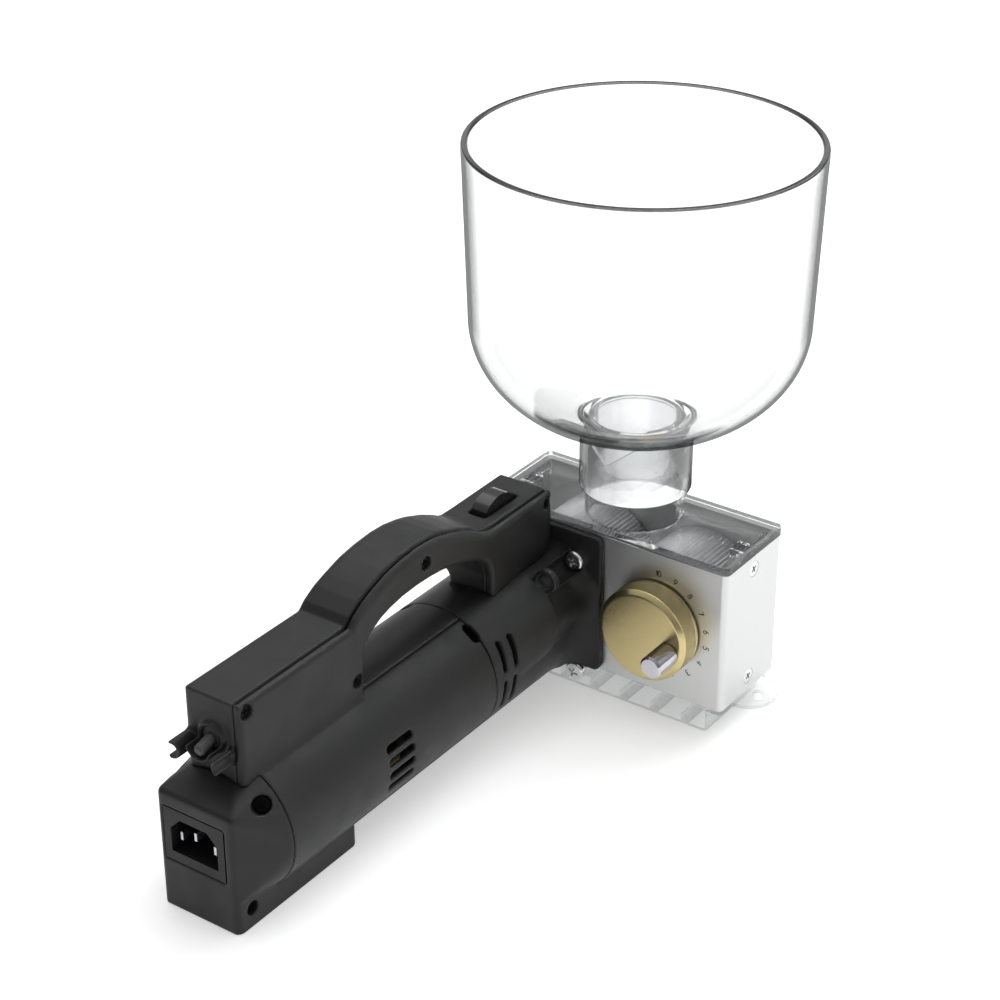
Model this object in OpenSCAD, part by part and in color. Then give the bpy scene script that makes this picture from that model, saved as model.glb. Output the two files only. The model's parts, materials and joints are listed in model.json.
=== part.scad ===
// Electric two-roller grain mill with a clear hopper, a hand-set gap dial
// and a geared motor body with a carrying handle.
// Millimetres. +Z is up, X runs along the mill housing, the motor points to -Y.
// The origin is midway between the two ear holes, in the plane of the ears'
// underside. Heights in the modules are drawn from the ground, and datum()
// moves each finished piece down into the part's own frame.

/* [Mill housing] */
// Length of the mill housing along X
house_l = 129; // [128:0.5:131]
// Depth of the mill housing along Y
house_d = 49; // [48:0.5:50]
// Height of the mill housing
house_h = 72; // [70:0.5:73]
// Wall thickness of the housing
house_t = 3.2; // [2.5:0.1:3.6]
// Thickness of the clear top cover
cover_t = 4.2; // [3:0.1:5]
// Thickness of the clear base plate and its ears
base_t = 2; // [1.5:0.1:2.5]
// Height of the skirt below the housing
skirt_h = 13.5; // [13:0.1:14]
// Radius of the screw holes in the two ears
ear_hole_r = 2.7; // [2.2:0.1:3.2]

/* [Rollers] */
// Outer radius of both rollers
roller_r = 28; // [27:0.1:28]
// Length of the roller bodies
roller_w = 40.8; // [38:0.2:41]
// Number of flutes round each roller
flutes = 88; // [60:1:96]
// Depth of a flute
flute_d = 0.7; // [0.4:0.1:1]
// Throw of the eccentric axle that sets the gap
throw_e = 0.8; // [0.4:0.1:0.8]

/* [Hopper] */
// Outer radius of the hopper rim
rim_r = 79.4; // [70:0.2:85]
// Height of the hopper rim above the ground
rim_z = 269; // [250:1:290]
// Wall thickness of the bowl
bowl_t = 3; // [2.5:0.1:3.2]

/* [Gap dial] */
// Radius of the dial knob
knob_r = 23; // [20:0.5:24]
// Height of the dial knob
knob_h = 13.2; // [10:0.2:16]
// Radius of the crank pin
pin_r = 5.5; // [4:0.1:6]
// Length of the crank pin
pin_l = 15; // [12:0.5:20]

/* [Motor body] */
// Outer radius of the motor barrel
barrel_r = 32; // [31.8:0.1:32.4]
// Wall thickness of the moulded shells
shell_t = 2.5; // [2:0.1:2.7]
// Width of the handle
handle_w = 30; // [29:0.5:31]

/* [Hidden] */

$fn = 96;
z0 = skirt_h;                 // underside of the housing
z1 = z0 + house_h;            // top edge of the housing
z2 = z1 + cover_t;            // top face of the cover
yf = -house_d / 2;            // front face of the housing
yb = house_d / 2;             // back face of the housing
ax_z = 48.8;                  // height of the roller axes
dr_x = -28.3;                 // drive roller axis
kn_x = 28.8;                  // dial and eccentric axis
dial_a = -13.7;               // angle of the crank pin at rest
ecc_a = dial_a - 100;         // direction of the throw at rest
id_x = kn_x + throw_e * cos(ecc_a);
id_z = ax_z + throw_e * sin(ecc_a);
m_x = -42.2;                  // motor axis
m_z = 36.2;
l_x = -30.0;                  // layshaft axis
l_z = 26.87;
h0 = m_x - handle_w / 2;      // left face of the handle
h1 = m_x + handle_w / 2;      // right face of the handle
hs = h1 - 3.9;                // plane where the side cover meets the shell
ring_y = -95.5;               // seam between gear housing and motor body
back_y = -262;                // rear face of the motor body
cap_y = -237.5;               // where the rear cap meets the barrel
seam_z = 19.2;                // lower edge of the side cover on the barrel
flange_x0 = -71;
flange_z1 = z0 + 71;
up_sx = -13.8; up_sz = 70.2;  // upper flange screw
lo_sx = -12.5; lo_sz = 10.7;  // lower flange screws
lo_s2 = -58.5;

black = [0.07, 0.07, 0.075];
clear = [0.86, 0.88, 0.88, 0.35];
steel = [0.72, 0.73, 0.74];

// ---- helpers ----
module datum() translate([0, 0, -(skirt_h - base_t)]) children();
// cylinder along +Y, from y to y + h
module cy(x, y, z, r, h, f = 96) { translate([x, y, z]) rotate([-90, 0, 0]) cylinder(r = r, h = h, $fn = f); }
// tube along +Y
module ty(x, y, z, ro, ri, h) { difference() { cy(x, y, z, ro, h); cy(x, y - 1, z, ri, h + 2); } }
// cylinder along +X
module cx(x, y, z, r, h, f = 48) { translate([x, y, z]) rotate([0, 90, 0]) cylinder(r = r, h = h, $fn = f); }
// box from its low corner to its high corner
module bx(a, b) { translate(a) cube(b - a); }
// outline given as [y, z] points, extruded from x = a to x = b
module yz(pts, a, b) { translate([a, 0, 0]) rotate([90, 0, 90]) linear_extrude(b - a) polygon(pts); }
// children are drawn in [x, z] and extruded from y to y + h
module xz(y, h) { translate([0, y + h, 0]) rotate([90, 0, 0]) linear_extrude(h) children(); }
// rectangle with round corners
module rrect(l, w, r) {
  square([l - 2 * r, w], center = true);
  square([l, w - 2 * r], center = true);
  for (i = [-1, 1], j = [-1, 1]) translate([i * (l / 2 - r), j * (w / 2 - r)]) circle(r, $fn = 48);
}
// outward normal at a corner of a clockwise outline, scaled for a mitred offset
function vn(p, i) = let (n = len(p), b = p[i], d1 = (b - p[(i + n - 1) % n]) / norm(b - p[(i + n - 1) % n]), d2 = (p[(i + 1) % n] - b) / norm(p[(i + 1) % n] - b),
  n1 = [-d1[1], d1[0]], n2 = [-d2[1], d2[0]]) (n1 + n2) / (1 + n1 * n2);
function shrink(p, d) = [for (i = [0:len(p) - 1]) p[i] - vn(p, i) * d];
function ring(p, rr, x, s, t, g) = [for (i = [0:len(p) - 1]) let (q = p[i] - g * vn(p, i) * rr[i] * (1 - sin(t))) [x + s * rr[i] * (1 - cos(t)), q[0], q[1]]];
// prism along X over a clockwise [y, z] outline, its edges rounded by the radii rr;
// with g = -1 it is the cutter for an opening whose edges are rounded
module rprism(p, rr, x0, x1, g = 1) {
  n = len(p); th = [0, 22.5, 45, 67.5, 90]; ov = g < 0 ? 2 : 0;
  c = g < 0 ? 0 : n - 2; // corner that sees the whole outline
  r1 = [for (t = th) ring(p, rr, x0, 1, t, g)];
  r2 = [for (k = [4:-1:0]) ring(p, rr, x1, -1, th[k], g)];
  rs = ov > 0 ? concat([[for (q = r1[0]) q - [ov, 0, 0]]], r1, r2, [[for (q = r2[4]) q + [ov, 0, 0]]]) : concat(r1, r2);
  m = len(rs);
  polyhedron([for (r = rs, q = r) q], concat([for (i = [0:n - 1], h = [0, 1]) let (j = (i + 1) % n, b = (m - 1) * n) if (i != c && j != c) h == 0 ? [c, j, i] : [b + c, b + i, b + j]],
    [for (k = [0:m - 2], i = [0:n - 1], h = [0, 1]) let (a = k * n + i, b = k * n + (i + 1) % n) h == 0 ? [a, b, b + n] : [a, b + n, a + n]]));
}
// involute half angle of a gear tooth at radius r
function inv(a) = tan(a) - a * PI / 180;
function half_a(n, m, r, bl) = let (rb = n * m / 2 * cos(20), q = r <= rb ? 0 : acos(rb / r))
  90 / n * (1 - bl) + (inv(20) - inv(q)) * 180 / PI;
function gear_pts(n, m, add, ph, bl = 0.14) = let (rp = n * m / 2, rf = rp - 1.25 * m, ra = rp + add,
  rb = max(rp * cos(20), rf), rs = [rf, rb, rb + (ra - rb) * 0.35, rb + (ra - rb) * 0.7, ra])
  [for (i = [0:n - 1], s = [0:9]) let (k = s < 5 ? s : 9 - s, sg = s < 5 ? -1 : 1, a = ph + 360 * i / n + sg * half_a(n, m, rs[k], bl))
    rs[k] * [cos(a), sin(a)]];
// flat spur gear between y and y + h
module gear(x, y, z, n, m, add, ph, h) { translate([x, 0, z]) xz(y, h) polygon(gear_pts(n, m, add, ph)); }
// fluted roller outline
function flute_pts(n, r, d, ph) = [for (i = [0:2 * n - 1]) let (q = i % 2 == 0 ? r : r - d, a = ph + 180 * i / n) q * [cos(a), sin(a)]];
// ball bearing drawn as two rings and a ring of balls' envelope
module bearing(x, y, z, ro, ri, h) {
  ty(x, y, z, ro, ro - (ro - ri) * 0.3, h);
  ty(x, y, z, ri + (ro - ri) * 0.3, ri, h);
  ty(x, y + h * 0.15, z, ro - (ro - ri) * 0.3 + 0.02, ri + (ro - ri) * 0.3 - 0.02, h * 0.7);
}
// pan head screw with a cross recess, head towards -Y
module pan_y(x, y, z, rh, hh, rs, l) {
  difference() {
    union() {
      translate([x, y, z]) rotate([90, 0, 0]) rotate_extrude() polygon(concat([[0, 0]], [for (a = [0:15:90]) [rh * cos(a) * 0.25 + rh * 0.75, hh * 0.35 + hh * 0.45 * sin(a)]], [[0, hh]], []));
      translate([x, y, z]) rotate([90, 0, 0]) cylinder(r = rh, h = hh * 0.36);
      cy(x, y, z, rs, l, 48);
    }
    for (a = [20, 110]) translate([x, y - hh, z]) rotate([0, a, 0]) cube([rh * 1.1, hh * 0.9, rh * 0.24], center = true);
  }
}
// flat head recessed screw along -X, head towards +X
module flat_x(x, y, z, rh, rs, l) {
  difference() {
    union() {
      translate([x - rh * 0.62, y, z]) rotate([0, 90, 0]) cylinder(r1 = rs, r2 = rh, h = rh * 0.5);
      translate([x - rh * 0.12, y, z]) rotate([0, 90, 0]) cylinder(r = rh, h = rh * 0.12);
      cx(x - l, y, z, rs, l - rh * 0.6);
    }
    for (a = [30, 120]) translate([x, y, z]) rotate([a, 0, 0]) cube([rh * 0.7, rh * 1.05, rh * 0.24], center = true);
  }
}

// ---- mill housing ----
module housing() color([0.93, 0.93, 0.92]) datum() difference() {
  translate([0, 0, z0]) linear_extrude(house_h) difference() {
    rrect(house_l, house_d, 2.6);
    rrect(house_l - 2 * house_t, house_d - 2 * house_t, 1);
  }
  for (x = [dr_x, kn_x]) cy(x, yf - 1, ax_z, 11, house_d + 2);
  for (x = [up_sx, flange_x0 - up_sx]) cy(x, yf - 1, up_sz, 2.5, house_t + 2, 48);
  for (s = [-1, 1], z = [z0 + 7.3, z1 - 7.3]) {
    cx(s * house_l / 2 - (s > 0 ? 4 : 1), 0, z, 2.1, 5);
    translate([s * house_l / 2, 0, z]) rotate([0, s * 90, 0]) { translate([0, 0, -2.5]) cylinder(r1 = 2.1, r2 = 3.9, h = 1.85, $fn = 48); translate([0, 0, -0.66]) cylinder(r = 3.9, h = 1, $fn = 48); }
  }
}

module top_cover() color(clear) datum() difference() {
  union() {
    translate([0, 0, z1]) linear_extrude(cover_t) rrect(house_l + 0.8, house_d + 0.8, 2.8);
    // collar that the hopper neck drops over
    translate([0, 0, z2 - 0.5]) cylinder(r = 23.2, h = 134 - z2 + 0.5);
    // lip that locates the cover inside the housing
    for (s = [-1, 1]) {
      bx([s > 0 ? house_l / 2 - house_t - 2.3 : -house_l / 2 + house_t + 0.3, -18, z1 - 3], [s > 0 ? house_l / 2 - house_t - 0.3 : -house_l / 2 + house_t + 2.3, 18, z1 + 0.5]);
      // block that takes the side screw
      bx([s > 0 ? house_l / 2 - house_t - 7.3 : -house_l / 2 + house_t + 0.3, -4.5, z1 - 12], [s > 0 ? house_l / 2 - house_t - 0.3 : -house_l / 2 + house_t + 7.3, 4.5, z1 + 0.5]);
    }
  }
  translate([0, 0, z1 - 1]) cylinder(r = 21.8, h = 60);
  for (s = [-1, 1]) cx(s > 0 ? 50 : -64, 0, z1 - 7.3, 1.9, 14);
}

module base_frame() color(clear) datum() difference() {
  union() {
    translate([0, 0, z0 - base_t]) linear_extrude(base_t) {
      rrect(house_l, house_d, 2.6);
      for (s = [-1, 1]) translate([s * house_l / 2, 0]) circle(14);
    }
    // skirt round the outlet
    difference() {
      linear_extrude(z0 - base_t + 0.5) rrect(113.6, house_d - 0.4, 2);
      translate([0, 0, -1]) linear_extrude(z0 + 1) rrect(109.2, house_d - 4.8, 1);
    }
    // bosses for the lower flange screws
    for (x = [lo_sx, lo_s2]) bx([x - 5, yf + 1, 4.6], [x + 5, yf + 11, z0 - 0.5]);
    // upright lugs that take the lower side screws
    for (s = [-1, 1]) bx([s > 0 ? house_l / 2 - house_t - 7.3 : -house_l / 2 + house_t + 0.3, -4.5, z0 - 1], [s > 0 ? house_l / 2 - house_t - 0.3 : -house_l / 2 + house_t + 7.3, 4.5, z0 + 12]);
    // guard bars across the outlet
    for (x = [-39.5, -22.7, -5.9, 10.9, 27.7, 44.5])
      translate([x, 0, 0]) xz(yf + 1.5, house_d - 3) polygon([[-2.4, 0], [2.4, 0], [2.4, 2.2], [0.6, 3.8], [-2.4, 3.8]]);
  }
  // outlet through the plate
  translate([0, 0, z0 - base_t - 1]) linear_extrude(base_t + 2) rrect(104, house_d - 8, 2);
  for (s = [-1, 1]) translate([s * 70.2, 0, 0]) cylinder(r = ear_hole_r, h = 30, $fn = 64);
  for (x = [lo_sx, lo_s2]) cy(x, yf - 1, lo_sz, 2.5, 12.5, 48);
  for (s = [-1, 1]) cx(s > 0 ? 50 : -64, 0, z0 + 7.3, 1.9, 14);
}

module side_screws() color(steel) datum() for (s = [0, 180], z = [z0 + 7.3, z1 - 7.3]) rotate([0, 0, s]) translate([0, 0, 0]) flat_x(house_l / 2 - 0.1, 0, z, 3.7, 1.85, 10);

// ---- hopper ----
bz = 187.5; bh = 53.5; bc = 8; ba = 68.7;
function bowl_pt(t, a) = [bc + (ba - t) * cos(a), bz - (bh - t) * sin(a)];
module hopper() color(clear) datum() difference() {
  rotate_extrude($fn = 128) polygon(concat(
    [[23.7, 102.8], [25.2, 102.8], [26, 103.6], [26, 133.2], [26.9, 135.2]],
    [for (a = [73:-4:1]) bowl_pt(0, a)],
    [[bc + ba, bz], [rim_r - 0.1, rim_z - 0.8], [rim_r - 0.8, rim_z], [rim_r - bowl_t + 0.8, rim_z], [rim_r - bowl_t, rim_z - 0.8], [bc + ba - bowl_t, bz]],
    [for (a = [1:4:78]) bowl_pt(bowl_t, a)],
    [[21.5, 137.6], [21.5, 134.3], [23.7, 134.3]]));
}

module feed_tube() color(clear) datum() difference() {
  translate([0, 0, 80]) cylinder(r = 21.45, h = 56.4);
  translate([0, 0, 70]) cylinder(r = 19.1, h = 80);
  // slanted lower end
  rotate([0, 0, 15]) translate([0, 0, 104]) rotate([0, -25.5, 0]) translate([-60, -60, -80]) cube([120, 120, 80]);
  // notch at the front of the neck
  rotate([0, 0, -95]) translate([5, 0, 0]) rotate([90, 0, 90]) linear_extrude(25) polygon([[0, 121], [15.5, 134.5], [15.5, 150], [-15.5, 150], [-15.5, 134.5]]);
}

// ---- rollers ----
module roller(x, z, ri, ph) difference() {
  translate([x, 0, z]) xz(-roller_w / 2, roller_w) polygon(flute_pts(flutes, roller_r, flute_d, ph));
  cy(x, -roller_w, z, ri, 2 * roller_w);
  // lightening recess in both ends
  for (y = [-roller_w / 2 - 1, roller_w / 2 - 2.5]) ty(x, y, z, roller_r - 5, ri + 5, 3.5);
}
module drive_roller() color([0.62, 0.63, 0.65]) datum() roller(dr_x, ax_z, 8, 0);
module drive_shaft() color(steel) datum() difference() {
  union() {
    cy(dr_x, -roller_w / 2 - 0.3, ax_z, 7.98, roller_w + 0.6);
    cy(dr_x, yf - 0.4, ax_z, 5.95, house_d + 0.2);
  }
  // driving socket for the coupling
  translate([dr_x, yf - 1, ax_z]) rotate([-90, 0, 0]) cylinder(r = 3.4, h = 14, $fn = 6);
}
module drive_bearings() color(steel) datum() { bearing(dr_x, yf + 0.1, ax_z, 10.95, 6, 3.3); bearing(dr_x, yb - 3.4, ax_z, 10.95, 6, 3.3); }

module idle_roller() color([0.62, 0.63, 0.65]) datum() roller(id_x, id_z, 11, 2);
module idle_bearings() color(steel) datum() for (y = [-roller_w / 2 + 0.2, roller_w / 2 - 8.2]) bearing(id_x, y, id_z, 10.98, 6.05, 8);
module eccentric_axle() color(steel) datum() difference() {
  union() {
    cy(id_x, -roller_w / 2 - 0.4, id_z, 6, roller_w + 0.8);
    cy(kn_x, yf - 10.5, ax_z, 4.95, house_d + 10.5);
  }
  // flat for the set screw
  set_dir() bx([-6, -5.5, 4.2], [6, 4.5, 6]);
}
module adjuster_bushes() color([0.72, 0.55, 0.3]) datum() {
  ty(kn_x, yf + 0.1, ax_z, 10.98, 5, 3.1);
  ty(kn_x, yb - 3.2, ax_z, 10.98, 5, 3.1);
}
module friction_washer() color([0.12, 0.12, 0.12]) datum() ty(kn_x, yf - 0.8, ax_z, 16, 5, 0.5);

// ---- gap dial ----
// direction of the set screw, low on the side away from the numbers
module set_dir() translate([kn_x, yf - 6.5, ax_z]) rotate([0, 215, 0]) children();
kx2 = kn_x + 15.3 * cos(dial_a);
kz2 = ax_z + 15.3 * sin(dial_a);
ky = yf - 0.85 - knob_h;
module adjuster_knob() color([0.83, 0.71, 0.38]) datum() difference() {
  union() {
    translate([kn_x, yf - 0.85, ax_z]) rotate([90, 0, 0]) rotate_extrude($fn = 128) polygon([[0, 0], [knob_r - 0.5, 0], [knob_r, 0.5], [knob_r, knob_h - 2], [knob_r - 2, knob_h], [0, knob_h]]);
  }
  cy(kn_x, yf - 11.2, ax_z, 5, 12);
  // seat for the crank pin screw
  cy(kx2, ky - 1, kz2, 2, 9, 48);
  // set screw hole, in the rim
  set_dir() translate([0, 0, 3]) cylinder(r = 1.7, h = 22, $fn = 48);
}
module knob_set_screw() color([0.2, 0.2, 0.2]) datum() difference() {
  set_dir() translate([0, 0, 4.25]) cylinder(r = 1.65, h = 5, $fn = 48);
  set_dir() translate([0, 0, 7.5]) cylinder(r = 0.8, h = 3, $fn = 6);
}
module crank_pin() color([0.78, 0.78, 0.79]) datum() translate([kx2, ky - 0.3, kz2]) rotate([90, 0, 0]) rotate_extrude()
  polygon([[2.55, 0], [pin_r - 0.4, 0], [pin_r, 0.4], [pin_r, pin_l - 1], [pin_r - 1, pin_l], [0, pin_l], [0, pin_l - 2], [pin_r - 1.7, pin_l - 2], [pin_r - 1.7, pin_l - 5.4], [2.55, pin_l - 5.4]]);
module crank_pin_screw() color(steel) datum() {
  cy(kx2, ky - pin_l + 4.6, kz2, 2.5, pin_l - 4.6, 48);
  cy(kx2, ky - pin_l + 2.4, kz2, pin_r - 1.8, 2.4, 48);
  cy(kx2, ky - 0.1, kz2, 1.97, 6.6, 48);
}

// ---- gear housing and flange ----
module bulge(r, y0, y1) cy(dr_x, y0, ax_z, r, y1 - y0);
// slanted cone that leads the barrel over to the bulge, grown by g
module ramp(g) intersection() {
  let (v = [dr_x - m_x, 50, ax_z - m_z]) translate([m_x, -100, m_z]) rotate([0, acos(v[2] / norm(v)), atan2(v[1], v[0])]) cylinder(r1 = 31.2 + g, r2 = 20.2 + g, h = 1.25 * norm(v));
  bx([-90, ring_y + 0.1, 0], [10, -53, 90]);
}
// hollow-curved flare of radius q that runs a round body of radius r into the flange
module flare(x, z, r, q) translate([x, -27, z]) rotate([90, 0, 0]) rotate_extrude() polygon(concat([[0, 0], [r + q - 0.5, 0]], [for (a = [8:9:90]) [r + q - q * sin(a), q - q * cos(a)]], [[r - 0.2, q + 0.5], [0, q + 0.5]]));
module gear_housing() color(black) datum() difference() {
  union() {
    cy(m_x, ring_y + 0.1, m_z, barrel_r, -26.8 - ring_y);
    bulge(21.5, -54, -27);
    ramp(0);
    intersection() {
      bx([flange_x0, -44, z0], [0, -27, flange_z1]);
      union() {
        flare(m_x, m_z, barrel_r, 15);
        flare(dr_x, ax_z, 21.5, 11);
      }
    }
    // square flange
    translate([flange_x0 / 2, 0, z0 + 35.5]) xz(-27.7, 3.1) union() { rrect(71, 71, 3.6); }
    // tower round the upper flange screw
    cy(up_sx, -53.5, up_sz, 5.9, 26);
    translate([up_sx, -53.5, up_sz]) rotate([0, 34, 0]) bx([-5.6, 0, -14], [4.6, 26.5, 0.2]);
  }
  // gear space
  cy(m_x, ring_y - 1, m_z, barrel_r - shell_t, 67.2 - 3);
  bulge(19.5, -50.5, -32);
  // bearing seat and shaft way
  cy(dr_x, -33, ax_z, 9.5, 5.2);
  cy(dr_x, -29, ax_z, 7.6, 6);
  cy(l_x, -33, l_z, 5.5, 4);
  // upper flange screws: hole, driver way and open trough
  for (x = [up_sx, flange_x0 - up_sx]) cy(x, -30, up_sz, 2.6, 8, 48);
  cy(up_sx, -60, up_sz, 4.1, 12, 48);
  cy(up_sx, -50.5, up_sz, 5.25, 22.8, 64);
  cy(flange_x0 - up_sx, -60, up_sz, 5.25, 32.3, 64);
  translate([up_sx, -49.5, up_sz]) rotate([0, -42, 0]) translate([0.6, 0, -12]) cube([20, 21.8, 24]);
  // notches for the lower flange screws
  for (x = [lo_sx, lo_s2]) {
    cy(x, -30, lo_sz, 3.6, 8, 64);
    cy(x, -40, lo_sz, 5.3, 12.3, 64);
  }
  pockets();
  // fan outlets on both sides
  for (m = [0, 1], y = [-88.7, -81.4], a = [[9, 28], [-26, 27]])
    translate([m_x, y - 1.3, m_z]) mirror([m, 0, 0]) rotate([-90, 0, 0]) rotate([0, 0, -a[0] - a[1]]) rotate_extrude(angle = a[1]) translate([26, 0]) square([12, 2.6]);
}
module flange_screws() color(steel) datum() {
  for (x = [up_sx, flange_x0 - up_sx]) pan_y(x, -27.75, up_sz, 5, 3.6, 2.4, 6.2);
  for (x = [lo_sx, lo_s2]) pan_y(x, -27.75, lo_sz, 4.9, 3.5, 2.4, 11);
}

// ---- body shells ----
// outline of the handle, seen from the side
outline = [[-247.5, 58], [-247.5, 101.9], [-176, 101.9], [-172.9, 105.3], [-166, 109.6], [-159.3, 112.7], [-149, 116.2],
  [-138.7, 118.1], [-128, 118.9], [-118.9, 118.6], [-111, 117.3], [-104, 115.3], [-93, 111.2], [-85.8, 107.8], [-79, 104],
  [-74.8, 102.6], [-68, 102.2], [-27.8, 102.2], [-27.8, 50], [-100, 40], [-222, 41]];
inner_outline = [[-245, 60], [-245, 99.4], [-175, 99.4], [-170.5, 103.6], [-164, 107.4], [-157, 110.6], [-148, 113.6],
  [-138.4, 115.4], [-128, 116.3], [-119.2, 116.1], [-111.8, 114.8], [-105, 112.9], [-94.2, 108.8], [-87.2, 105.6], [-80.6, 101.8],
  [-76, 100.1], [-68.2, 99.7], [-30.3, 99.7], [-30.3, 55], [-100, 45], [-200, 45]];
arch = [[-168.9, 60], [-168.4, 84], [-166.8, 88.8], [-161.5, 92.8], [-155, 95.8], [-148.8, 97.6], [-139.8, 99.1], [-129, 99.6], [-119.7, 99.3],
  [-111, 98.4], [-103.9, 97.1], [-96, 94.9], [-90.3, 92.8], [-84.5, 90.2], [-80, 87.2], [-77, 83.6], [-75.4, 79], [-75.3, 60]];
arch_out = [[-171.4, 60], [-170.9, 84.6], [-169, 90.4], [-163, 95], [-156, 98.2], [-149.4, 100], [-140, 101.6], [-129, 102.1], [-119.4, 101.8],
  [-110.4, 100.9], [-103, 99.5], [-95, 97.3], [-89, 95], [-82.8, 92.2], [-78, 88.6], [-74.6, 84.4], [-72.9, 79.4], [-72.8, 60]];

rr_out = [2.5, 2.5, 3, 3.5, 4, 5, 5.5, 6, 6, 6, 6, 5.5, 5, 4.5, 4, 3.2, 2.8, 2, 2, 2, 2];
rr_arch = [1.5, 2, 3, 3.5, 4, 4, 4, 4, 4, 4, 4, 4, 4, 4, 3.5, 3, 2, 1.5];

// rear end as a solid, grown by g
module rear_form(g) hull() {
  for (x = [m_x - 17.8, m_x + 17.7]) {
    translate([x, back_y + 3, 16 - g]) cylinder(r = 3 + g, h = 4, $fn = 32);
    translate([x, back_y + 3, 55.5]) sphere(r = 3 + g, $fn = 32);
  }
  cy(m_x, cap_y - 1, m_z, barrel_r - 0.4 + g, 1, 80);
}
// handle solid between two x planes, without the inside
module handle_form(a, b) intersection() {
  difference() {
    rprism(outline, rr_out, h0, h1);
    rprism(arch, rr_arch, h0, h1, -1);
    // shadow groove along the top where the side cover meets the shell
    difference() {
      bx([hs - 0.75, -246, 90], [hs + 0.95, -29, 130]);
      yz(shrink(outline, 1.7), hs - 2, hs + 2);
    }
  }
  bx([a, -260, 40], [b, -20, 130]);
}
// space inside the handle
module handle_space(a, b) difference() {
  yz(inner_outline, a, b);
  yz(arch_out, a - 1, b + 1);
}
// what the shells are cut back from: gear housing, barrel bore and rear cap
module shell_cuts() {
  cy(m_x, ring_y, m_z, barrel_r + 0.15, 80);
  bulge(21.7, -60, -20);
  ramp(0.25);
  translate([0, -0.3, 0]) flare(m_x, m_z, barrel_r + 0.2, 15);
  translate([0, -0.3, 0]) flare(dr_x, ax_z, 21.7, 11);
  translate([up_sx, -53.8, up_sz]) rotate([0, 34, 0]) bx([-5.9, 0, -30], [5, 34, 0.5]);
  cy(up_sx, -53.8, up_sz, 6.2, 34, 64);
  cy(m_x, -250, m_z, barrel_r - shell_t, 200);
  difference() { cy(m_x, -300, m_z, 60, 300 + cap_y); bx([-90, -301, 50], [0, cap_y + 1, 120]); }
  rear_form(0.15);
  pockets();
}
// oval pocket that straddles the seam, on both sides
module pockets() for (m = [0, 1]) translate([m_x, 0, m_z]) mirror([m, 0, 0]) rotate([0, -54, 0]) translate([24, -97.1, 0]) rotate([0, 90, 0])
  linear_extrude(14) polygon([for (e = [0, 1], k = [0:8]) let (a = 180 * e - 90 + 22.5 * k) [(e == 0 ? 2.7 : -2.7) + 2.4 * cos(a), 2.4 * sin(a)]]);
// rear intake slots
module intakes() for (m = [0, 1], a = [17.8, 6.2, -5.5, -17]) translate([m_x, 0, m_z]) mirror([m, 0, 0]) rotate([0, -a, 0]) {
  bx([24, -172, -2], [40, -158.2, 2]);
  for (y = [-172, -158.2]) translate([24, y, 0]) rotate([0, 90, 0]) cylinder(r = 2, h = 16, $fn = 32);
}
cover_pts = [[-243, 97.4], [-172.8, 74.9], [-123.9, 109.2], [-31.6, 97.3]];

module body_shell() color(black) datum() difference() {
  union() {
    cy(m_x, cap_y, m_z, barrel_r, ring_y - cap_y - 0.15);
    handle_form(h0 - 1, hs - 0.08);
    for (p = cover_pts) intersection() { cx(h0 + 1.5, p[0], p[1], 3.3, handle_w - 5.55); rprism(outline, rr_out, h0, h1); }
    // boss and scoop of the cord exit
    cy(m_x, -249.6, 83.2, 6.9, 3);
    difference() {
      ty(m_x, -257.6, 83.2, 6.9, 5.9, 11);
      bx([m_x - 9, -260, 81.8], [m_x + 9, -247, 92]);
    }
    // two channels beside it, open to the outside
    for (s = [-1, 1]) difference() {
      ty(m_x + s * 12.4, -259.5, 77.8, 4.1, 2.9, 13);
      bx([m_x + s * 15.6 - 1.6, -261, 72], [m_x + s * 15.6 + 1.6, -247.6, 84]);
    }
  }
  difference() { handle_space(h0 + shell_t, hs + 1); for (p = cover_pts) cx(h0, p[0], p[1], 3.3, handle_w); }
  for (p = cover_pts) cx(h1 - 10.5, p[0], p[1], 1.55, 9);
  // driver way of the left flange screw
  cy(flange_x0 - up_sx, -78, up_sz, 5.65, 55, 64);
  shell_cuts();
  // region of the side cover
  bx([hs - 0.08, -300, seam_z - 0.08], [20, -20, 130]);
  intakes();
  cy(m_x, -255, 83.2, 4.7, 12, 64);
  // rocker opening
  bx([m_x - 4.9, -66.6, 95], [m_x + 4.7, -40.3, 110]);
  // wire ways between barrel and handle
  cyz_hole(-230); cyz_hole(-185);
}
module cyz_hole(y) translate([m_x, y, 50]) cylinder(r = 5, h = 30, $fn = 48);

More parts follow.
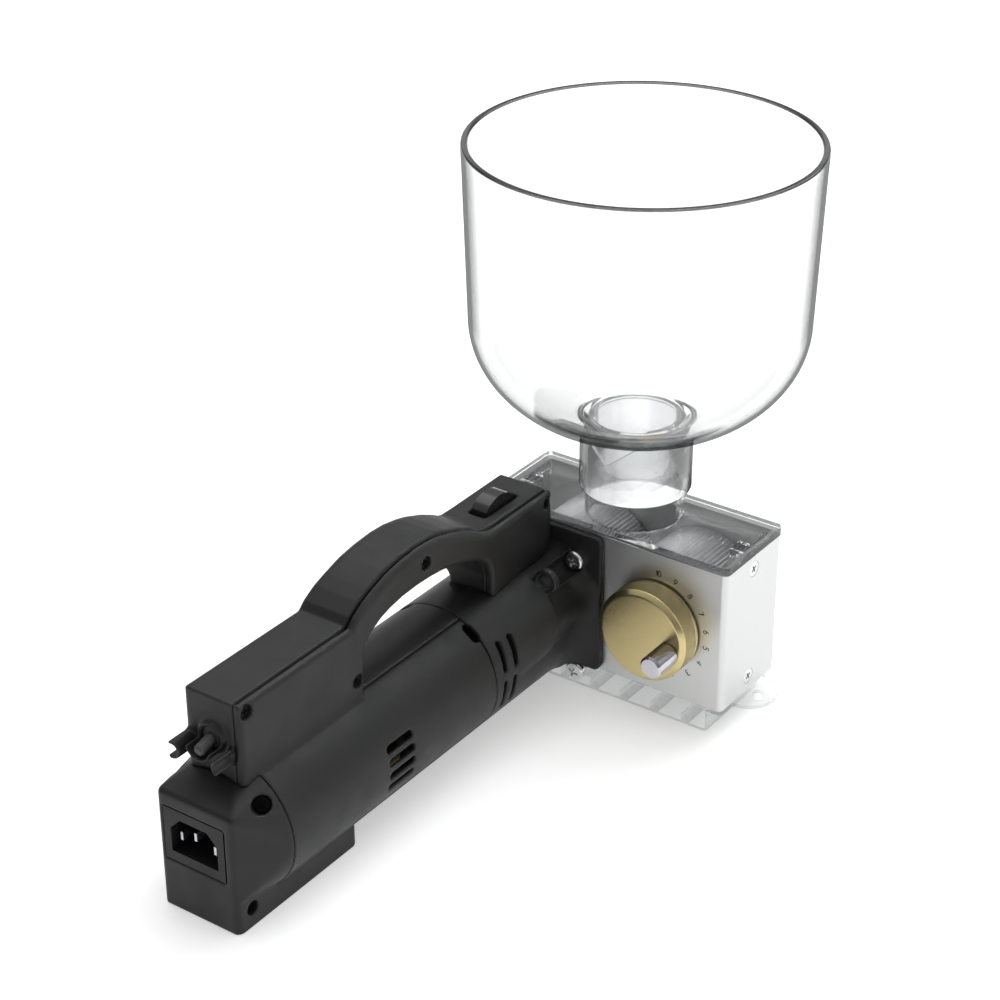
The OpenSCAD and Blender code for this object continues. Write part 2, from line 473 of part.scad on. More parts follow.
module side_cover() color(black) datum() difference() {
  union() {
    intersection() {
      cy(m_x, cap_y, m_z, barrel_r, ring_y - cap_y - 0.15);
      bx([hs + 0.08, -300, seam_z + 0.08], [20, -20, 130]);
    }
    handle_form(hs + 0.08, h1 + 1);
  }
  shell_cuts();
  intakes();
  // recesses for the cover screws
  for (p = cover_pts) { cx(h1 - 2.7, p[0], p[1], 3.3, 6); cx(h1 - 8, p[0], p[1], 1.7, 10); }
}
module cover_screws() color([0.15, 0.15, 0.16]) datum() for (p = cover_pts) difference() {
  union() { cx(h1 - 2.65, p[0], p[1], 3.05, 1.1); cx(h1 - 9, p[0], p[1], 1.5, 7.2); }
  for (a = [0, 90]) translate([h1 - 1.5, p[0], p[1]]) rotate([a, 0, 0]) cube([1.2, 3.4, 0.8], center = true);
}
module tower_screws() color([0.15, 0.15, 0.16]) datum() {
  slant() difference() {
    union() { translate([0, 0, -5.95]) cylinder(r = 3.4, h = 2, $fn = 48); translate([0, 0, -13]) cylinder(r = 1.5, h = 8, $fn = 48); }
    for (a = [0, 90]) rotate([0, 0, a]) translate([0, 0, -4]) cube([3.6, 0.8, 1.6], center = true);
  }
  difference() {
    union() { cx(m_x + 16.85, -252.9, 9.3, 3.1, 1.6); cx(m_x + 9, -252.9, 9.3, 1.5, 8); }
    for (a = [0, 90]) translate([m_x + 18.5, -252.9, 9.3]) rotate([a, 0, 0]) cube([1.6, 3.4, 0.8], center = true);
  }
}

// a child drawn along +Z is laid into the slanted screw holes of the rear cap, pointing out
module slant() for (m = [0, 1]) translate([m_x, -246.5, m_z]) mirror([m, 0, 0]) rotate([0, -43.5, 0]) translate([31, 0, 0]) rotate([0, 0, -45]) rotate([0, 90, 0]) children();
module rear_cap() color(black) datum() difference() {
  union() {
    difference() {
      rear_form(0);
      // inside of the cap
      hull() {
        bx([m_x - 18, back_y + 2.6, 19], [m_x + 18, back_y + 4, 54]);
        cy(m_x, cap_y - 1, m_z, barrel_r - 3, 3, 64);
      }
    }
    intersection() { rear_form(0); slant() translate([0, 0, -9]) cylinder(r = 5.6, h = 14, $fn = 48); }
    // foot block under the barrel
    difference() {
      hull() for (x = [m_x - 17.8, m_x + 17.7], y = [back_y + 3, -187]) translate([x, y, 0]) cylinder(r = 3, h = 17, $fn = 32);
      cy(m_x, cap_y - 0.15, m_z, barrel_r + 0.1, 80);
      // clear of the inside of the cap
      bx([m_x - 18, back_y + 2.6, 12], [m_x + 18, cap_y - 1, 20]);
    }
  }
  slant() { translate([0, 0, -6]) cylinder(r = 4, h = 20, $fn = 48); translate([0, 0, -14]) cylinder(r = 1.55, h = 10, $fn = 48); }
  // window for the inlet
  bx([-59.9, back_y - 1, 24.3], [-26.9, back_y + 6, 50.8]);
  // hollow of the foot, open below
  bx([m_x - 17, back_y + 4, -1], [m_x + 17, -188, 1.6]);
  // side screw: head recess and pilot hole
  cx(m_x + 16.8, -252.9, 9.3, 3.3, 9);
  cx(m_x + 6, -252.9, 9.3, 1.55, 14);
}

pin_pts = [[-52.4, 36.3, 2.8], [-43.4, 40.2, 1.4], [-34.4, 36.3, 2.8]];
module inlet_socket() color([0.05, 0.05, 0.055]) datum() difference() {
  union() {
    bx([-59.55, back_y + 0.2, 24.65], [-27.25, back_y + 5, 50.45]);
    bx([-57.4, back_y + 4, 26.8], [-29.4, back_y + 21, 48.6]);
  }
  for (p = pin_pts) bx([p[0] - 0.7, back_y + 10, p[1] - 2], [p[0] + 0.7, back_y + 30, p[1] + 2]);
  xz(back_y - 1, 18) polygon([[-55.9, 29.3], [-30.9, 29.3], [-30.9, 40.8], [-36.2, 46.1], [-50.6, 46.1], [-55.9, 40.8]]);
}
module inlet_pins() color([0.8, 0.8, 0.8]) datum() for (p = pin_pts)
  bx([p[0] - 0.65, back_y + p[2], p[1] - 1.95], [p[0] + 0.65, back_y + 22, p[1] + 1.95]);

module cord_exit_plug() color([0.2, 0.2, 0.21]) datum() {
  cy(m_x, -248.4, 83.2, 4.65, 4, 64);
  translate([m_x, -247, 83.2]) rotate([90 + 15, 0, 0]) { cylinder(r = 2.6, h = 9.5, $fn = 48); translate([0, 0, 9.5]) cylinder(r1 = 2.6, r2 = 1.8, h = 0.9, $fn = 48); }
}

// ---- switch ----
rk_y = -53.4; rk_z = 97.4; rk_a = -6;
// domed rocker with two pivot stubs
module rocker() color([0.05, 0.05, 0.05]) datum() translate([m_x - 0.1, rk_y, rk_z]) rotate([rk_a, 0, 0]) {
  intersection() {
    yz([[-11.9, 4.9], [-11.9, 12], [11.9, 12], [11.9, 4.9], [12.3, 0.8], [7, -2.6], [0, -3.6], [-7, -2.6], [-12.3, 0.8]], -4.1, 4.1);
    cx(-5, 0, -4.3, 15.1, 10, 160);
  }
  cx(-5.4, 0, 0, 1.2, 10.8);
}
module switch_body() color([0.12, 0.12, 0.12]) datum() difference() {
  bx([m_x - 7, rk_y - 14.2, 82], [m_x + 6.8, rk_y + 14.2, 99.4]);
  bx([m_x - 4.6, rk_y - 13.1, 92.8], [m_x + 4.4, rk_y + 13.1, 101]);
  cx(m_x - 5.8, rk_y, rk_z, 1.27, 11.4);
}
wire_pts = [[-238.2, 41], [-233.5, 56], [-230, 70], [-226, 80], [-216, 87], [-200, 90], [-184, 91.5], [-170, 96.6], [-158, 101.4], [-146, 104.1], [-134, 104.7], [-122, 104.4], [-110, 103.2], [-98, 100.8], [-88, 97.4], [-80, 93], [-74, 89.6], [-69.2, 88.4]];
// one insulated wire along a path of [y, z] points, with mitred bends
module wire(p, r, k = 12) {
  n = len(p);
  d = [for (i = [0:n - 1]) let (a = p[max(i - 1, 0)], b = p[min(i + 1, n - 1)]) (b - a) / norm(b - a)];
  polyhedron([for (i = [0:n - 1], j = [0:k - 1]) let (t = 360 * j / k) [r * cos(t), p[i][0] - r * sin(t) * d[i][1], p[i][1] + r * sin(t) * d[i][0]]],
    concat([[for (j = [0:k - 1]) j]], [[for (j = [k - 1:-1:0]) (n - 1) * k + j]],
      [for (i = [0:n - 2], j = [0:k - 1], h = [0, 1]) let (a = i * k + j, b = i * k + (j + 1) % k) h == 0 ? [b, a, a + k] : [b, a + k, b + k]]));
}
module supply_wires() color([0.4, 0.25, 0.15]) datum() for (s = [-1, 1]) translate([m_x - 2 + s * 1.7, 0, 0]) wire(wire_pts, 1.1);

// ---- motor ----
module stator_core() color([0.5, 0.5, 0.52]) datum() difference() {
  cy(m_x, -152, m_z, 29, 44);
  cy(m_x, -153, m_z, 18, 46);
  for (s = [-1, 1]) bx([m_x - 10, -153, m_z + s * 22.5 - 4], [m_x + 10, -107, m_z + s * 22.5 + 4]);
  for (s = [-1, 1]) bx([m_x + s * 31 - 3.2, -153, m_z - 12], [m_x + s * 31 + 3.2, -107, m_z + 12]);
}
module field_coils() color([0.72, 0.4, 0.2]) datum() for (s = [-1, 1]) bx([m_x - 9.8, -158, m_z + s * 22.5 - 3.8], [m_x + 9.8, -102, m_z + s * 22.5 + 3.8]);
module armature_shaft() color(steel) datum() { cy(m_x, -208, m_z, 3.98, 145); cy(m_x, -64, m_z, 0.88, 9.8, 24); }
module armature_core() color([0.55, 0.5, 0.46]) datum() difference() {
  union() {
    cy(m_x, -151, m_z, 17.2, 42);
    cy(m_x, -157, m_z, 14, 54);
  }
  cy(m_x, -160, m_z, 4, 60);
  for (i = [0:11]) translate([m_x, -152, m_z]) rotate([0, i * 30, 0]) bx([16, 0, -0.9], [18.5, 44, 0.9]);
}
module commutator() color([0.75, 0.45, 0.25]) datum() difference() {
  cy(m_x, -178, m_z, 11, 17);
  cy(m_x, -179, m_z, 4, 20);
  for (i = [0:23]) translate([m_x, -179, m_z]) rotate([0, i * 15, 0]) bx([10.2, 0, -0.25], [12, 15, 0.25]);
}
module cooling_fan() color([0.15, 0.15, 0.16]) datum() {
  ty(m_x, -92, m_z, 26, 4, 1.6);
  ty(m_x, -90.5, m_z, 7, 4, 9);
  for (i = [0:10]) translate([m_x, -90.5, m_z]) rotate([0, i * 360 / 11, 0]) bx([6.8, 0, -0.8], [25.8, 10, 0.8]);
}
module rear_bearing() color(steel) datum() bearing(m_x, -206, m_z, 11, 4.03, 7);
module front_bearing() color(steel) datum() bearing(m_x, -77, m_z, 11, 4.03, 7);
module brush_plate() color([0.2, 0.18, 0.16]) datum() difference() {
  union() {
    ty(m_x, -208, m_z, 29.2, 24, 6);
    ty(m_x, -208, m_z, 14.5, 11, 9.1);
    for (a = [45, 135, 225, 315]) translate([m_x, -208, m_z]) rotate([0, a, 0]) bx([13, 0, -3], [25, 6, 3]);
  }
  cy(m_x, -210, m_z, 11, 20);
}
module brush_holders() color([0.75, 0.6, 0.3]) datum() for (s = [-1, 1]) difference() {
  bx([m_x + (s > 0 ? 12 : -28.6), -175.5, m_z - 5], [m_x + (s > 0 ? 28.6 : -12), -163.5, m_z + 5]);
  bx([m_x + (s > 0 ? 11 : -27.6), -173.5, m_z - 3.3], [m_x + (s > 0 ? 27.6 : -11), -165.5, m_z + 3.3]);
}
module carbon_brushes() color([0.13, 0.13, 0.13]) datum() for (s = [-1, 1]) difference() {
  bx([m_x + (s > 0 ? 10.4 : -20), -173.3, m_z - 3.1], [m_x + (s > 0 ? 20 : -10.4), -165.7, m_z + 3.1]);
  cy(m_x, -180, m_z, 11.05, 20);
}
module brush_springs() color(steel) datum() for (s = [-1, 1]) difference() {
  cx(m_x + (s > 0 ? 20.2 : -27.4), -169.5, m_z, 2.8, 7.2);
  cx(m_x + (s > 0 ? 19 : -28), -169.5, m_z, 2.1, 9);
}

// ---- gear train ----
module gear_plate() color([0.7, 0.71, 0.72]) datum() difference() {
  union() { cy(m_x, -72, m_z, 29.3, 3); ty(m_x, -77, m_z, 13.5, 11, 6); ty(l_x, -72, l_z, 7, 5.5, 7); }
  cy(m_x, -78, m_z, 11, 8.2);
  cy(m_x, -78, m_z, 6, 20);
  cy(l_x, -68.5, l_z, 5.5, 6);
  cy(l_x, -73, l_z, 2.6, 8);
}
a_lo = atan2(ax_z - l_z, dr_x - l_x);   // from layshaft to output axis
a_lm = atan2(m_z - l_z, m_x - l_x);     // from layshaft to motor axis
c_lm = norm([m_x - l_x, m_z - l_z]);
c_lo = norm([dr_x - l_x, ax_z - l_z]);
mod1 = 2 * c_lm / 41;
mod2 = 2 * c_lo / 44;
module armature_pinion() color(steel) datum() difference() {
  gear(m_x, -62.9, m_z, 7, mod1, mod1 * 0.95, a_lm + 180 + 180 / 7, 8.9);
  cy(m_x, -65, m_z, 0.9, 12, 24);
}
module lay_gear() color([0.62, 0.5, 0.3]) datum() difference() {
  gear(l_x, -62.5, l_z, 34, mod1, mod1 * 0.35, a_lm, 6);
  cy(l_x, -64, l_z, 4, 10);
}
module layshaft() color(steel) datum() {
  cy(l_x, -68.3, l_z, 2.95, 5, 48);
  cy(l_x, -63.6, l_z, 3.98, 8.6, 48);
  gear(l_x, -55.2, l_z, 8, mod2, mod2 * 0.9, a_lo, 20.7);
  cy(l_x, -34.6, l_z, 2.95, 5, 48);
}
module lay_bearings() color([0.72, 0.55, 0.3]) datum() { ty(l_x, -68.4, l_z, 5.45, 3, 3.8); ty(l_x, -32.9, l_z, 5.45, 3, 3.7); }
module output_gear() color([0.6, 0.6, 0.62]) datum() difference() {
  gear(dr_x, -47, ax_z, 36, mod2, mod2 * 0.4, a_lo + 180 + 5, 9);
  cy(dr_x, -48, ax_z, 5, 12);
  for (a = [0:60:300]) translate([dr_x + 11 * cos(a), -49, ax_z + 11 * sin(a)]) rotate([-90, 0, 0]) cylinder(r = 2.6, h = 14, $fn = 32);
}
module output_bearing() color(steel) datum() bearing(dr_x, -32.9, ax_z, 9.45, 5.05, 5);
module shaft_coupling() color([0.66, 0.67, 0.69]) datum() {
  cy(dr_x, -50, ax_z, 4.98, 23.5);
  translate([dr_x, -26.6, ax_z]) rotate([-90, 0, 0]) cylinder(r = 3.3, h = 13.5, $fn = 6);
}

housing();
top_cover();
base_frame();
side_screws();
hopper();
feed_tube();
drive_roller();
drive_shaft();
drive_bearings();
idle_roller();
idle_bearings();
eccentric_axle();
adjuster_bushes();
friction_washer();
adjuster_knob();
knob_set_screw();
crank_pin();
crank_pin_screw();
gear_housing();
flange_screws();
body_shell();
side_cover();
cover_screws();
tower_screws();
rear_cap();
inlet_socket();
inlet_pins();
cord_exit_plug();
switch_body();
rocker();
supply_wires();
stator_core();
field_coils();
armature_shaft();
armature_core();
commutator();
cooling_fan();
rear_bearing();
front_bearing();
brush_plate();
brush_holders();
carbon_brushes();
brush_springs();
gear_plate();
armature_pinion();
layshaft();
lay_gear();
lay_bearings();
output_gear();
output_bearing();
shaft_coupling();
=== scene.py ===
import json
import math

import bpy
import bmesh
from mathutils import Matrix, Vector

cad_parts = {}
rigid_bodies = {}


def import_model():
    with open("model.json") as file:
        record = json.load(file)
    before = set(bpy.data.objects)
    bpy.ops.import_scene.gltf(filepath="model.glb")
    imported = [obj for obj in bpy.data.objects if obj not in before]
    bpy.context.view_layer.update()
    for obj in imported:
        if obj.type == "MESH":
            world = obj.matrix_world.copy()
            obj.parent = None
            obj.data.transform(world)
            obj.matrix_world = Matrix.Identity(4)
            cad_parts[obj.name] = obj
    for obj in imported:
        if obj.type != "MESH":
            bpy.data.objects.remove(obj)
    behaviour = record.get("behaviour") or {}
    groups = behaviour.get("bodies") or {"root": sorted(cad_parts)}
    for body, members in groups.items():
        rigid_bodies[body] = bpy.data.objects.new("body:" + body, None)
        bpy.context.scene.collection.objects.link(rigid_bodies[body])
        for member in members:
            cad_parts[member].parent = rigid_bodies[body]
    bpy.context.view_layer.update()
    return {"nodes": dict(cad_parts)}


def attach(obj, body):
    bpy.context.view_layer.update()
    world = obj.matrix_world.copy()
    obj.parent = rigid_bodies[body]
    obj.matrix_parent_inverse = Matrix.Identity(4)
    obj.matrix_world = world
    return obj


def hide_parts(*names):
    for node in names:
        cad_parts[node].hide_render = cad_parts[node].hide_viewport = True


for o in list(bpy.data.objects):
    bpy.data.objects.remove(o)

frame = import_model()
nodes = frame["nodes"]
scene = bpy.context.scene
MM = 0.001
GROUND = -11.5  # height of the resting plane in the part's frame, in mm


# ---------------------------------------------------------------- camera
cam_data = bpy.data.cameras.new("camera")
cam_data.sensor_fit = "HORIZONTAL"
cam_data.sensor_width = 36.0
cam_data.lens = 87.3377
cam_data.clip_start = 0.05
cam_data.clip_end = 60
cam = bpy.data.objects.new("camera", cam_data)
scene.collection.objects.link(cam)
right = Vector((0.8160678, 0.57795405, -0.00156953))
down = Vector((0.27641305, -0.39267571, -0.87715541))
fwd = Vector((-0.50757184, 0.71538444, -0.48020405))
m = Matrix.Identity(4)
for i in range(3):
    m[i][0] = right[i]
    m[i][1] = -down[i]
    m[i][2] = -fwd[i]
m[0][3], m[1][3], m[2][3] = 0.51952744, -0.84008769, 0.62178191
cam.matrix_world = m
scene.camera = cam


# ---------------------------------------------------------------- materials
def new_mat(name):
    mat = bpy.data.materials.new(name)
    mat.use_nodes = True
    nt = mat.node_tree
    return mat, nt, nt.nodes["Principled BSDF"]


def coords(nt, scale=(1, 1, 1)):
    tc = nt.nodes.new("ShaderNodeTexCoord")
    mp = nt.nodes.new("ShaderNodeMapping")
    mp.inputs["Scale"].default_value = scale
    nt.links.new(tc.outputs["Object"], mp.inputs["Vector"])
    return mp.outputs["Vector"]


def noise(nt, vec, scale, detail=3.0, rough=0.55):
    n = nt.nodes.new("ShaderNodeTexNoise")
    n.inputs["Scale"].default_value = scale
    n.inputs["Detail"].default_value = detail
    n.inputs["Roughness"].default_value = rough
    nt.links.new(vec, n.inputs["Vector"])
    return n.outputs["Fac"]


def ramp(nt, fac, stops):
    r = nt.nodes.new("ShaderNodeValToRGB")
    e = r.color_ramp.elements
    e[0].position, e[0].color = stops[0][0], (*stops[0][1], 1)
    e[-1].position, e[-1].color = stops[-1][0], (*stops[-1][1], 1)
    for pos, col in stops[1:-1]:
        e.new(pos).color = (*col, 1)
    nt.links.new(fac, r.inputs["Fac"])
    return r.outputs["Color"]


def spread(nt, fac, lo, hi, a=0.3, b=0.7):
    r = nt.nodes.new("ShaderNodeMapRange")
    r.inputs["From Min"].default_value = a
    r.inputs["From Max"].default_value = b
    r.inputs["To Min"].default_value = lo
    r.inputs["To Max"].default_value = hi
    nt.links.new(fac, r.inputs["Value"])
    return r.outputs["Result"]


def bump(nt, fac, strength, dist, under=None):
    b = nt.nodes.new("ShaderNodeBump")
    b.inputs["Strength"].default_value = strength
    b.inputs["Distance"].default_value = dist
    nt.links.new(fac, b.inputs["Height"])
    if under is not None:
        nt.links.new(under, b.inputs["Normal"])
    return b.outputs["Normal"]


def lighter_edge_colour(nt, base, light, amount=0.6):
    """Colour that turns a little lighter along convex edges, from pointiness."""
    g = nt.nodes.new("ShaderNodeNewGeometry")
    r = nt.nodes.new("ShaderNodeMapRange")
    r.inputs["From Min"].default_value = 0.52
    r.inputs["From Max"].default_value = 0.62
    r.inputs["To Max"].default_value = amount
    nt.links.new(g.outputs["Pointiness"], r.inputs["Value"])
    mx = nt.nodes.new("ShaderNodeMix")
    mx.data_type = "RGBA"
    nt.links.new(r.outputs["Result"], mx.inputs["Factor"])
    nt.links.new(base, mx.inputs[6])
    mx.inputs[7].default_value = (*light, 1)
    return mx.outputs[2]


def plastic(name, lo, hi, r_lo, r_hi, grain=2600, depth=0.00006, strength=0.35, edge=None, coarse=28, spec=0.5):
    mat, nt, p = new_mat(name)
    v = coords(nt)
    col = ramp(nt, noise(nt, v, coarse, 4), [(0.35, lo), (0.65, hi)])
    if edge is not None:
        col = lighter_edge_colour(nt, col, edge)
    nt.links.new(col, p.inputs["Base Color"])
    nt.links.new(spread(nt, noise(nt, v, coarse * 2.3, 5), r_lo, r_hi), p.inputs["Roughness"])
    p.inputs["Specular IOR Level"].default_value = spec
    if depth:
        nt.links.new(bump(nt, noise(nt, v, grain, 2, 0.5), strength, depth), p.inputs["Normal"])
    return mat


def metal(name, lo, hi, r_lo, r_hi, stretch=(1, 1, 1), scale=900, depth=0.00002, strength=0.3, aniso=0.0, coarse=60, coat=0.0):
    mat, nt, p = new_mat(name)
    v = coords(nt, stretch)
    v1 = coords(nt)
    col = ramp(nt, noise(nt, v, scale, 4, 0.6), [(0.3, lo), (0.7, hi)])
    nt.links.new(col, p.inputs["Base Color"])
    p.inputs["Metallic"].default_value = 1.0
    mixed = nt.nodes.new("ShaderNodeMath")
    mixed.operation = "ADD"
    nt.links.new(spread(nt, noise(nt, v, scale * 1.7, 3), r_lo * 0.5, r_hi * 0.5), mixed.inputs[0])
    nt.links.new(spread(nt, noise(nt, v1, coarse, 4), r_lo * 0.5, r_hi * 0.5), mixed.inputs[1])
    nt.links.new(mixed.outputs[0], p.inputs["Roughness"])
    p.inputs["Anisotropic"].default_value = aniso
    p.inputs["Coat Weight"].default_value = coat
    if depth:
        nt.links.new(bump(nt, noise(nt, v, scale, 3), strength, depth), p.inputs["Normal"])
    return mat


def clear(name, stops, edge=0.0, steep=(0.6, 0.76), edge_shade_grey=0.52, side=None, upright_shade_top=1.0, density=8.0, dark=(0.42, 0.44, 0.45), rough=(0.0, 0.02), wave=70, depth=0.00008, ior=1.49, thin=0.0, thin_tint=0.9):
    """Clear acrylic. stops: how much it lets through against how steeply it is seen, a painted shade that darkens it
    edge-on. edge: how far steep edges lose their gloss and turn grey, a painted shade. side, upright_shade_top: a
    painted shade on upright cut edges below that height. thin: how much of it is seen through without bending. Lamps
    reach what is behind it."""
    mat, nt, p = new_mat(name)
    out = nt.nodes["Material Output"]
    v = coords(nt)
    f = noise(nt, v, wave, 2)
    lw = nt.nodes.new("ShaderNodeLayerWeight")
    lw.inputs["Blend"].default_value = 0.5
    # painted shade: the colour darkens where the surface is seen edge-on, standing in for the dark rims of glass
    col = ramp(nt, lw.outputs["Facing"], [(pos, (c, c * 1.003, c * 1.004)) for pos, c in stops])
    haze = nt.nodes.new("ShaderNodeMix")
    haze.data_type = "RGBA"
    haze.blend_type = "MULTIPLY"
    haze.inputs["Factor"].default_value = 1.0
    nt.links.new(col, haze.inputs[6])
    nt.links.new(ramp(nt, f, [(0.3, (0.985, 0.99, 0.99)), (0.7, (1.0, 1.0, 1.0))]), haze.inputs[7])
    col = haze.outputs[2]
    # painted shade on upright faces below upright_shade_top, picked by the normal
    if side is not None:
        g = nt.nodes.new("ShaderNodeNewGeometry")
        sep = nt.nodes.new("ShaderNodeSeparateXYZ")
        nt.links.new(g.outputs["Normal"], sep.inputs[0])
        ab = nt.nodes.new("ShaderNodeMath")
        ab.operation = "ABSOLUTE"
        nt.links.new(sep.outputs["Z"], ab.inputs[0])
        at = nt.nodes.new("ShaderNodeSeparateXYZ")
        nt.links.new(v, at.inputs[0])
        under = nt.nodes.new("ShaderNodeMath")
        under.operation = "LESS_THAN"
        nt.links.new(at.outputs["Z"], under.inputs[0])
        under.inputs[1].default_value = upright_shade_top
        mul = nt.nodes.new("ShaderNodeMath")
        mul.operation = "MULTIPLY"
        nt.links.new(spread(nt, ab.outputs[0], 1.0, 0.0, 0.25, 0.8), mul.inputs[0])
        nt.links.new(under.outputs[0], mul.inputs[1])
        mx = nt.nodes.new("ShaderNodeMix")
        mx.data_type = "RGBA"
        mx.blend_type = "MULTIPLY"
        nt.links.new(mul.outputs[0], mx.inputs["Factor"])
        nt.links.new(col, mx.inputs[6])
        mx.inputs[7].default_value = (side, side * 1.01, side * 1.01, 1)
        col = mx.outputs[2]
    nt.links.new(col, p.inputs["Base Color"])
    nt.links.new(spread(nt, noise(nt, v, wave * 3, 5), rough[0], rough[1]), p.inputs["Roughness"])
    p.inputs["Transmission Weight"].default_value = 1.0
    p.inputs["IOR"].default_value = ior
    nt.links.new(bump(nt, f, 0.06, depth), p.inputs["Normal"])
    shader = p.outputs["BSDF"]
    # painted shade: steep edges are mixed with a grey see-through shader
    if edge:
        grey = nt.nodes.new("ShaderNodeBsdfTransparent")
        grey.inputs["Color"].default_value = (edge_shade_grey, edge_shade_grey * 1.01, edge_shade_grey * 1.01, 1)
        soft = nt.nodes.new("ShaderNodeMixShader")
        nt.links.new(spread(nt, lw.outputs["Facing"], 0.0, edge, *steep), soft.inputs[0])
        nt.links.new(shader, soft.inputs[1])
        nt.links.new(grey.outputs[0], soft.inputs[2])
        shader = soft.outputs[0]
    if thin:
        plain = nt.nodes.new("ShaderNodeBsdfTransparent")
        plain.inputs["Color"].default_value = (thin_tint, thin_tint * 1.005, thin_tint * 1.005, 1)
        part = nt.nodes.new("ShaderNodeMixShader")
        part.inputs[0].default_value = thin
        nt.links.new(shader, part.inputs[1])
        nt.links.new(plain.outputs[0], part.inputs[2])
        shader = part.outputs[0]
    path = nt.nodes.new("ShaderNodeLightPath")
    through = nt.nodes.new("ShaderNodeBsdfTransparent")
    through.inputs["Color"].default_value = (0.93, 0.935, 0.935, 1)
    last = nt.nodes.new("ShaderNodeMixShader")
    nt.links.new(path.outputs["Is Shadow Ray"], last.inputs[0])
    nt.links.new(shader, last.inputs[1])
    nt.links.new(through.outputs[0], last.inputs[2])
    nt.links.new(last.outputs[0], out.inputs["Surface"])
    if density:  # only where one material covers the whole piece
        vol = nt.nodes.new("ShaderNodeVolumeAbsorption")
        vol.inputs["Color"].default_value = (*dark, 1)
        vol.inputs["Density"].default_value = density
        nt.links.new(vol.outputs["Volume"], out.inputs["Volume"])
    return mat


M = {}
M["shell"] = plastic("black_moulding", (0.0082, 0.0082, 0.0084), (0.0115, 0.0115, 0.0118), 0.45, 0.55, edge=(0.030, 0.030, 0.031), spec=0.34)
M["gloss"] = plastic("black_gloss", (0.007, 0.007, 0.008), (0.012, 0.012, 0.013), 0.12, 0.24, depth=0.00001, strength=0.1)
M["socket"] = plastic("black_socket", (0.0080, 0.0080, 0.0082), (0.0105, 0.0105, 0.0108), 0.46, 0.56, spec=0.32)
M["dark"] = plastic("dark_plastic", (0.018, 0.018, 0.019), (0.03, 0.03, 0.031), 0.45, 0.6)
M["washer"] = plastic("black_washer", (0.012, 0.012, 0.012), (0.02, 0.02, 0.02), 0.6, 0.75)
M["grey"] = plastic("grey_cable", (0.036, 0.036, 0.037), (0.05, 0.05, 0.051), 0.5, 0.65)
M["wire"] = plastic("brown_wire", (0.16, 0.06, 0.025), (0.24, 0.10, 0.04), 0.4, 0.55)
M["phen"] = plastic("brown_phenolic", (0.03, 0.018, 0.011), (0.05, 0.03, 0.018), 0.4, 0.6, coarse=300)
M["carbon"] = plastic("carbon", (0.015, 0.015, 0.016), (0.035, 0.035, 0.036), 0.5, 0.7, coarse=700)
M["housing"] = metal("satin_aluminium", (0.635, 0.64, 0.64), (0.65, 0.655, 0.655), 0.39, 0.42, stretch=(1, 1, 0.15), scale=1700, depth=0.000001, strength=0.02, coarse=18)
M["roller"] = metal("roller_steel", (0.30, 0.30, 0.305), (0.42, 0.423, 0.427), 0.50, 0.62, stretch=(1, 0.1, 1), scale=1600)
nt = M["roller"].node_tree  # painted highlight on the ridges of the flutes and painted shade in their valleys, from pointiness
g = nt.nodes.new("ShaderNodeNewGeometry")
p = nt.nodes["Principled BSDF"]
was = p.inputs["Base Color"].links[0].from_socket
mx = nt.nodes.new("ShaderNodeMix")
mx.data_type = "RGBA"
mx.blend_type = "MULTIPLY"
mx.inputs["Factor"].default_value = 1.0
nt.links.new(was, mx.inputs[6])
# painted highlight and shade: pointiness multiplies the roller colour up on ridges and down in valleys
nt.links.new(ramp(nt, g.outputs["Pointiness"], [(0.44, (0.07, 0.07, 0.07)), (0.56, (0.95, 0.95, 0.95))]), mx.inputs[7])
nt.links.new(mx.outputs[2], p.inputs["Base Color"])
M["steel"] = metal("steel", (0.42, 0.43, 0.44), (0.6, 0.61, 0.62), 0.2, 0.36)
M["screw"] = metal("zinc_screw", (0.62, 0.62, 0.63), (0.8, 0.8, 0.81), 0.14, 0.3, scale=1400)
# black screws, darkened further as painted shade so that recessed heads read as dark holes
M["bscrew"] = metal("black_screw", (0.006, 0.006, 0.0065), (0.012, 0.012, 0.0125), 0.45, 0.6, scale=1400)
M["gold"] = metal("gold_anodised", (0.56, 0.465, 0.235), (0.61, 0.51, 0.265), 0.22, 0.30, scale=2600, depth=0.000005, strength=0.15)
M["pin"] = metal("polished_aluminium", (0.50, 0.49, 0.52), (0.57, 0.56, 0.59), 0.10, 0.2, scale=1800, depth=0.000003)
M["brass"] = metal("brass", (0.06, 0.043, 0.02), (0.09, 0.065, 0.032), 0.4, 0.55)
M["bronze"] = metal("bronze_bush", (0.40, 0.25, 0.12), (0.55, 0.37, 0.19), 0.35, 0.55, scale=2400)
# copper darkened to a painted shade, for windings that sit in shade behind the vents
M["copper"] = metal("copper_winding", (0.10, 0.043, 0.02), (0.15, 0.07, 0.032), 0.35, 0.5, stretch=(1, 0.08, 1), scale=1500, depth=0.0001, strength=0.6)
M["lam"] = metal("lamination", (0.16, 0.16, 0.17), (0.30, 0.30, 0.31), 0.4, 0.6, stretch=(0.05, 1, 0.05), scale=1600, depth=0.0001, strength=0.5)
# the stops of each clear material paint shade by view angle: darker where seen edge-on
M["base"] = clear("clear_acrylic", [(0.0, 0.998), (0.6, 0.99), (0.85, 0.88)], density=0, ior=1.25, thin=0.7, thin_tint=0.975)
